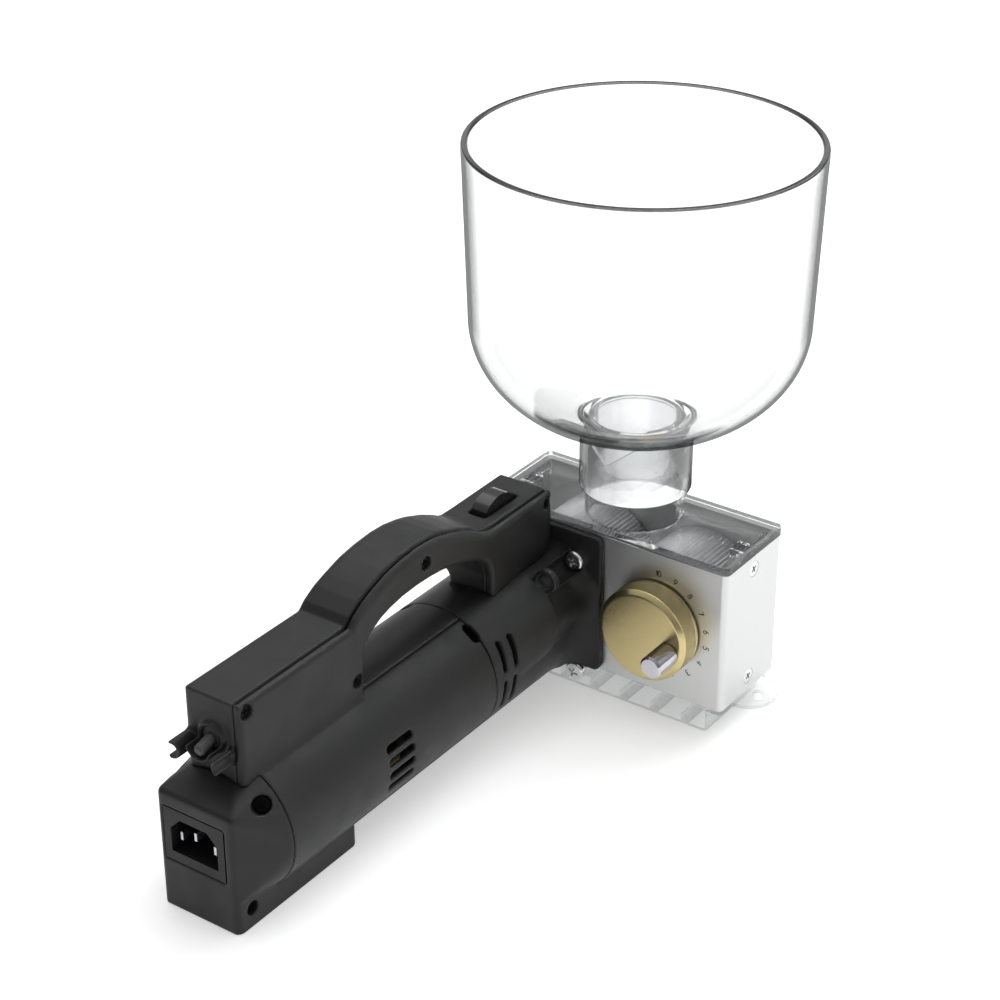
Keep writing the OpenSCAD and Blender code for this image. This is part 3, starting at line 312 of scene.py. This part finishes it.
# the cover also gets a painted shade on its upright faces
M["cover"] = clear("clear_cover", [(0.0, 0.99), (0.6, 0.98), (0.85, 0.75)], side=0.6, upright_shade_top=0.0785, density=0, ior=1.3, thin=0.12, thin_tint=0.9, rough=(0.0, 0.004), depth=0.00001)
M["tube"] = clear("clear_tube", [(0.0, 0.998), (0.6, 0.99), (0.8, 0.8), (1.0, 0.65)], edge=0.6, steep=(0.68, 0.76), edge_shade_grey=0.6, density=0, thin=0.25, thin_tint=0.975)
M["hopper"] = clear("clear_hopper", [(0.0, 0.94), (0.35, 0.92), (0.6, 0.80), (0.68, 0.68), (1.0, 0.5)], edge=1.0, steep=(0.66, 0.8), edge_shade_grey=0.42, density=0)
M["inner"] = clear("clear_hopper_inside", [(0.0, 0.90), (0.4, 0.88), (0.7, 0.76), (0.9, 0.64), (1.0, 0.55)], density=0)
# painted shade: the rim is nearly black, standing in for the dark ring of the glass rim
M["rim"] = clear("clear_rim_painted_shade", [(0.0, 0.03), (0.5, 0.02), (1.0, 0.03)], edge=0.6, steep=(0.6, 0.76), edge_shade_grey=0.4, density=0)

look = {
    "housing": "housing", "top_cover": "cover", "base_frame": "base", "side_screws": "screw", "hopper": "hopper",
    "feed_tube": "tube", "drive_roller": "roller", "drive_shaft": "steel", "drive_bearings": "steel",
    "idle_roller": "roller", "idle_bearings": "steel", "eccentric_axle": "steel", "adjuster_bushes": "bronze",
    "friction_washer": "washer", "adjuster_knob": "gold", "knob_set_screw": "bscrew", "crank_pin": "pin",
    "crank_pin_screw": "steel", "gear_housing": "shell", "flange_screws": "screw", "body_shell": "shell",
    "side_cover": "shell", "cover_screws": "bscrew", "tower_screws": "bscrew", "rear_cap": "shell",
    "inlet_socket": "socket", "inlet_pins": "steel", "cord_exit_plug": "grey", "switch_body": "dark",
    "rocker": "gloss", "supply_wires": "wire", "stator_core": "lam", "field_coils": "copper",
    "armature_shaft": "steel", "armature_core": "lam", "commutator": "copper", "cooling_fan": "dark",
    "rear_bearing": "steel", "front_bearing": "steel", "brush_plate": "phen", "brush_holders": "brass",
    "carbon_brushes": "carbon", "brush_springs": "steel", "gear_plate": "lam", "armature_pinion": "steel",
    "layshaft": "steel", "lay_gear": "bronze", "lay_bearings": "bronze", "output_gear": "steel",
    "output_bearing": "steel", "shaft_coupling": "steel",
}
for name, ob in nodes.items():
    mat = M[look[name]]
    if not ob.material_slots:
        ob.data.materials.append(mat)
    for s in ob.material_slots:
        s.material = mat

# ---------------------------------------------------------------- CAD nodes: rounded mouldings
for name, voxel, turns in (("body_shell", 0.7, 3), ("side_cover", 0.65, 3), ("rear_cap", 0.6, 4), ("gear_housing", 0.7, 3)):
    ob = nodes[name]
    r = ob.modifiers.new("remesh", "REMESH")
    r.mode = "VOXEL"
    r.voxel_size = voxel * MM
    r.use_smooth_shade = True
    s = ob.modifiers.new("smooth", "SMOOTH")
    s.factor = 0.5
    s.iterations = turns


# ---------------------------------------------------------------- helpers for new pieces
def piece(name, verts, faces, mat, body, smooth=True, angle=35):
    me = bpy.data.meshes.new(name)
    me.from_pydata(verts, [], faces)
    me.validate()
    bm = bmesh.new()
    bm.from_mesh(me)
    bmesh.ops.recalc_face_normals(bm, faces=bm.faces)
    for f in bm.faces:
        f.smooth = smooth
    for e in bm.edges:
        e.smooth = len(e.link_faces) != 2 or e.calc_face_angle(0) < math.radians(angle)
    bm.to_mesh(me)
    bm.free()
    ob = bpy.data.objects.new(name, me)
    scene.collection.objects.link(ob)
    me.materials.append(mat)
    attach(ob, body)
    return ob


def lathe(profile, n, place, closed=True):
    """Verts and faces of a closed profile of (radius, along) turned about an axis; place maps (x, y, along)."""
    verts, faces, rings = [], [], []
    for r, a in profile:
        if r < 1e-9:
            rings.append([len(verts)])
            verts.append(place(0, 0, a))
        else:
            rings.append(list(range(len(verts), len(verts) + n)))
            verts += [place(r * math.cos(2 * math.pi * k / n), r * math.sin(2 * math.pi * k / n), a) for k in range(n)]
    m_ = len(rings)
    for i in range(m_ if closed else m_ - 1):
        a, b = rings[i], rings[(i + 1) % m_]
        if len(a) == 1 and len(b) == 1:
            continue
        for k in range(n):
            j = (k + 1) % n
            if len(a) == 1:
                faces.append((a[0], b[k], b[j]))
            elif len(b) == 1:
                faces.append((a[k], a[j], b[0]))
            else:
                faces.append((a[k], a[j], b[j], b[k]))
    return verts, faces


def arc(cx, cy, r, a0, a1, n):
    return [(cx + r * math.cos(math.radians(a0 + (a1 - a0) * k / n)), cy + r * math.sin(math.radians(a0 + (a1 - a0) * k / n))) for k in range(n + 1)]


# ---------------------------------------------------------------- hopper: one smooth moulding
def up(z):
    return (z + GROUND) * MM


bz, bh, bc, ba, bt, rim_r, rim_z = 187.5, 53.5, 8.0, 68.7, 3.0, 79.25, 269.0


def bowl(t, a):
    return (bc + (ba - t) * math.cos(math.radians(a)), bz - (bh - t) * math.sin(math.radians(a)))


prof = [(23.7, 103.2), (23.9, 102.9), (24.3, 102.8), (25.2, 102.8), (25.7, 103.0), (26.0, 103.6), (26.0, 120.0), (26.0, 132.6), (26.15, 133.9), (26.6, 134.9), (27.3, 135.6)]
prof += [bowl(0, a) for a in [73 - 2.5 * k for k in range(30)] if a > 0]
prof += [(bc + ba, bz)]
prof += [(bc + ba + (rim_r - bc - ba) * k / 8, bz + (rim_z - 0.8 - bz) * k / 8) for k in range(1, 8)]
prof += [(rim_r - 0.002 * k, rim_z - 0.9 - k) for k in (3, 1.5, 0.6)]
prof += [(rim_r, rim_z - 0.9), (rim_r - 0.1, rim_z - 0.45), (rim_r - 0.4, rim_z - 0.1), (rim_r - 0.9, rim_z), (rim_r - bt + 0.9, rim_z), (rim_r - bt + 0.4, rim_z - 0.1), (rim_r - bt + 0.1, rim_z - 0.45), (rim_r - bt, rim_z - 0.9)]
prof += [(rim_r - bt - 0.002 * k, rim_z - 0.9 - k) for k in (0.6, 1.5, 3)]
prof += [(bc + ba - bt + (rim_r - bc - ba) * k / 8, bz + (rim_z - 0.8 - bz) * k / 8) for k in range(7, 0, -1)]
prof += [(bc + ba - bt, bz)]
prof += [bowl(bt, a) for a in [2.5 * k for k in range(1, 32)] if a < 77.5]
prof += [(22.6, 137.2), (21.9, 136.9), (21.6, 136.4), (21.5, 135.6), (21.5, 134.5), (21.7, 134.3), (23.5, 134.3), (23.7, 134.1)]
prof = [(r * MM, up(z)) for r, z in prof]
v, f = lathe(prof, 240, lambda x, y, a: (x, y, a))
hop = piece("hopper_bowl", v, f, M["hopper"], "hopper", angle=50)
hop.data.materials.append(M["rim"])
hop.data.materials.append(M["inner"])
for poly in hop.data.polygons:
    # faces on top of the rim take the painted-shade rim material
    if min(hop.data.vertices[i].co.z for i in poly.vertices) > up(rim_z - 0.95):
        poly.material_index = 1
    # inward faces of the bowl take the inside material, with its own darker view-angle painted shade
    elif poly.center.x * poly.normal.x + poly.center.y * poly.normal.y < 0 and poly.center.z > up(136.9):
        poly.material_index = 2
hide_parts("hopper")

# ---------------------------------------------------------------- knob: turned body with a fine straight knurl
KX, KZ, KR, KH, KY = 28.8, 48.8 + GROUND, 23.0, 13.2, -24.5 - 0.85
ribs, per = 150, 4
ring_n = ribs * per
prof = [(0.0, 0.0, 0), (KR - 0.7, 0.0, 0), (KR - 0.2, 0.12, 0), (KR, 0.5, 0), (KR, 1.6, 0), (KR - 0.25, 1.75, 0), (KR - 0.25, 2.1, 0), (KR, 2.25, 0), (KR, 2.5, 0), (KR, 2.9, 1),
        (KR, 10.2, 1), (KR, 10.6, 0), (KR, KH - 2.15, 0), (KR - 0.06, KH - 1.98, 0), (KR - 0.2, KH - 1.8, 0), (KR - 1.75, KH - 0.22, 0), (KR - 1.92, KH - 0.08, 0), (KR - 2.15, KH, 0)]
prof += [(KR - 2.15 - 0.9 * k, KH, 0) for k in range(1, 23)] + [(0.0, KH, 0)]
verts, faces, rings = [], [], []
for r, a, kn in prof:
    if r < 1e-6:
        rings.append([len(verts)])
        verts.append((KX * MM, (KY - a) * MM, KZ * MM))
        continue
    rings.append(list(range(len(verts), len(verts) + ring_n)))
    for k in range(ring_n):
        q = r - (0.17 if kn and k % per in (0, 1) else 0.0)
        t = 2 * math.pi * k / ring_n
        verts.append(((KX + q * math.cos(t)) * MM, (KY - a) * MM, (KZ + q * math.sin(t)) * MM))
for i in range(len(rings) - 1):
    a, b = rings[i], rings[i + 1]
    for k in range(ring_n):
        j = (k + 1) % ring_n
        if len(a) == 1:
            faces.append((a[0], b[k], b[j]))
        elif len(b) == 1:
            faces.append((a[k], a[j], b[0]))
        else:
            faces.append((a[k], a[j], b[j], b[k]))
knob = piece("dial_knob", verts, faces, M["gold"], "adjuster", angle=28)
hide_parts("adjuster_knob")

# ---------------------------------------------------------------- dial numbers: thin printed strokes
def seg(*pts):
    return list(pts)


def oval(cx, cy, rx, ry, a0, a1, n=14):
    return [(cx + rx * math.cos(math.radians(a0 + (a1 - a0) * k / n)), cy + ry * math.sin(math.radians(a0 + (a1 - a0) * k / n))) for k in range(n + 1)]


GLYPH = {  # strokes in a box 0.6 wide and 1 high
    "1": [seg((0.12, 0.78), (0.34, 1.0), (0.34, 0.0))],
    "0": [oval(0.3, 0.5, 0.27, 0.5, 0, 360, 24)],
    "3": [oval(0.28, 0.74, 0.24, 0.26, 150, -90, 12) + oval(0.28, 0.25, 0.28, 0.25, 90, -150, 14)[1:]],
    "4": [seg((0.44, 0.0), (0.44, 1.0), (0.0, 0.3), (0.6, 0.3))],
    "5": [seg((0.54, 1.0), (0.12, 1.0), (0.07, 0.55)) + oval(0.28, 0.32, 0.28, 0.31, 118, -145, 16)],
    "6": [[(0.46, 1.0), (0.3, 0.82), (0.13, 0.6), (0.04, 0.4)] + oval(0.3, 0.29, 0.28, 0.29, 160, -200, 24)],
    "7": [seg((0.04, 1.0), (0.56, 1.0), (0.22, 0.0))],
    "8": [oval(0.3, 0.76, 0.22, 0.24, -90, 270, 20), oval(0.3, 0.26, 0.28, 0.26, 90, 450, 22)],
    "9": [oval(0.3, 0.71, 0.28, 0.29, -20, 340, 24) + [(0.56, 0.6), (0.47, 0.4), (0.3, 0.18), (0.14, 0.0)]],
}
CAP, STROKE, NR = 2.8, 0.22, 26.7
gv, gf = [], []


def ribbon(pts, w, y0, y1):
    """A flat stroke through 2-D points (mm, in the X/Z plane), from y0 out to y1."""
    loop_l, loop_r = [], []
    n = len(pts)
    for i, p in enumerate(pts):
        a = Vector(pts[max(i - 1, 0)])
        b = Vector(pts[min(i + 1, n - 1)])
        d = (b - a).normalized() if (b - a).length > 1e-9 else Vector((1, 0))
        nrm = Vector((-d[1], d[0]))
        if 0 < i < n - 1:
            d0 = (Vector(p) - a).normalized()
            s = max(0.5, abs(nrm.dot(Vector((-d0[1], d0[0])))))
            nrm = nrm / s
        loop_l.append(Vector(p) + nrm * w)
        loop_r.append(Vector(p) - nrm * w)
    base = len(gv)
    for q, y in [(q, y) for y in (y0, y1) for q in loop_l + loop_r]:
        gv.append((q[0] * MM, y * MM, q[1] * MM))
    L = n
    A, B = base, base + 2 * L
    for i in range(n - 1):
        gf.append((B + i, B + i + 1, B + L + i + 1, B + L + i))
        gf.append((A + i, A + L + i, A + L + i + 1, A + i + 1))
        gf.append((A + i, A + i + 1, B + i + 1, B + i))
        gf.append((A + L + i, B + L + i, B + L + i + 1, A + L + i + 1))
    gf.append((A, B, B + L, A + L))
    gf.append((A + n - 1, A + L + n - 1, B + L + n - 1, B + n - 1))


def put(text, deg):
    a = math.radians(deg)
    rad = Vector((math.cos(a), math.sin(a)))
    side = Vector((math.sin(a), -math.cos(a)))  # reading direction, tops outward
    widths = {"1": 0.34}
    total = sum(widths.get(c, 0.6) for c in text) + 0.16 * (len(text) - 1)
    x = -total / 2
    for c in text:
        for stroke in GLYPH[c]:
            pts = []
            for (sx, sy) in stroke:
                q = Vector((KX, KZ)) + rad * (NR + (sy - 0.5) * CAP) + side * ((x + sx) * CAP)
                pts.append((q[0], q[1]))
            ribbon(pts, STROKE, -24.46, -24.54)
        x += widths.get(c, 0.6) + 0.16


for text, deg in (("10", 90), ("9", 70), ("8", 50), ("7", 30), ("6", 10), ("5", -8.4), ("4", -28.6), ("3", -49)):
    put(text, deg)
dot = math.radians(-69)
dx, dz = KX + NR * 0.985 * math.cos(dot), KZ + NR * 0.985 * math.sin(dot)
ribbon([(dx + 0.3 * math.cos(t), dz + 0.3 * math.sin(t)) for t in [2 * math.pi * k / 16 for k in range(17)]], 0.29, -24.46, -24.54)
ink = plastic("dial_ink", (0.010, 0.010, 0.011), (0.022, 0.022, 0.023), 0.35, 0.5, grain=4000, depth=0.000004)
piece("dial_numbers", gv, gf, ink, "base", smooth=False)

# ---------------------------------------------------------------- floor and light
bpy.ops.mesh.primitive_circle_add(vertices=96, radius=9, fill_type="NGON", location=(0, 0, GROUND * MM - 0.00005))
floor = bpy.context.object
floor.name = "floor"
fm, nt, p = new_mat("floor")
nt.links.new(ramp(nt, noise(nt, coords(nt), 6, 2), [(0.3, (0.80, 0.80, 0.80)), (0.7, (0.815, 0.815, 0.815))]), p.inputs["Base Color"])
p.inputs["Emission Color"].default_value = (1, 1, 1, 1)
p.inputs["Emission Strength"].default_value = 0.40
p.inputs["Roughness"].default_value = 0.9
p.inputs["Specular IOR Level"].default_value = 0.1
floor.data.materials.append(fm)

world = bpy.data.worlds.new("studio")
scene.world = world
world.use_nodes = True
wn = world.node_tree
bg = wn.nodes["Background"]
tc = wn.nodes.new("ShaderNodeTexCoord")
sep = wn.nodes.new("ShaderNodeSeparateXYZ")
wn.links.new(tc.outputs["Generated"], sep.inputs[0])
wr = wn.nodes.new("ShaderNodeValToRGB")
els = wr.color_ramp.elements
els[0].position, els[0].color = 0.0, (0.36, 0.36, 0.36, 1)
els[1].position, els[1].color = 0.75, (1.0, 1.0, 1.0, 1)
wn.links.new(sep.outputs["Z"], wr.inputs["Fac"])
wy = wn.nodes.new("ShaderNodeMapRange")
wy.inputs["From Min"].default_value = -0.9
wy.inputs["From Max"].default_value = 0.2
wy.inputs["To Min"].default_value = 0.45
wy.inputs["To Max"].default_value = 1.0
wn.links.new(sep.outputs["Y"], wy.inputs["Value"])
wm = wn.nodes.new("ShaderNodeVectorMath")
wm.operation = "SCALE"
wn.links.new(wr.outputs["Color"], wm.inputs[0])
wn.links.new(wy.outputs["Result"], wm.inputs["Scale"])
wn.links.new(wm.outputs["Vector"], bg.inputs["Color"])
bg.inputs["Strength"].default_value = 0.8


def area(name, loc, target, size, power, size_y=None):
    d = bpy.data.lights.new(name, "AREA")
    d.shape = "RECTANGLE"
    d.size = size
    d.size_y = size_y or size
    d.energy = power
    o = bpy.data.objects.new(name, d)
    scene.collection.objects.link(o)
    o.location = loc
    o.rotation_euler = (Vector(target) - Vector(loc)).to_track_quat("-Z", "Y").to_euler()
    return o


area("key", (-0.5, 0.5, 2.2), (0, -0.1, 0.05), 2.4, 26)
area("side", (1.9, 0.3, 1.0), (0, -0.1, 0.05), 1.6, 7)
area("back", (0.3, 1.5, 1.5), (0.25, 0.75, 0.0), 1.2, 16)

scene.view_settings.view_transform = "Standard"
scene.view_settings.look = "None"
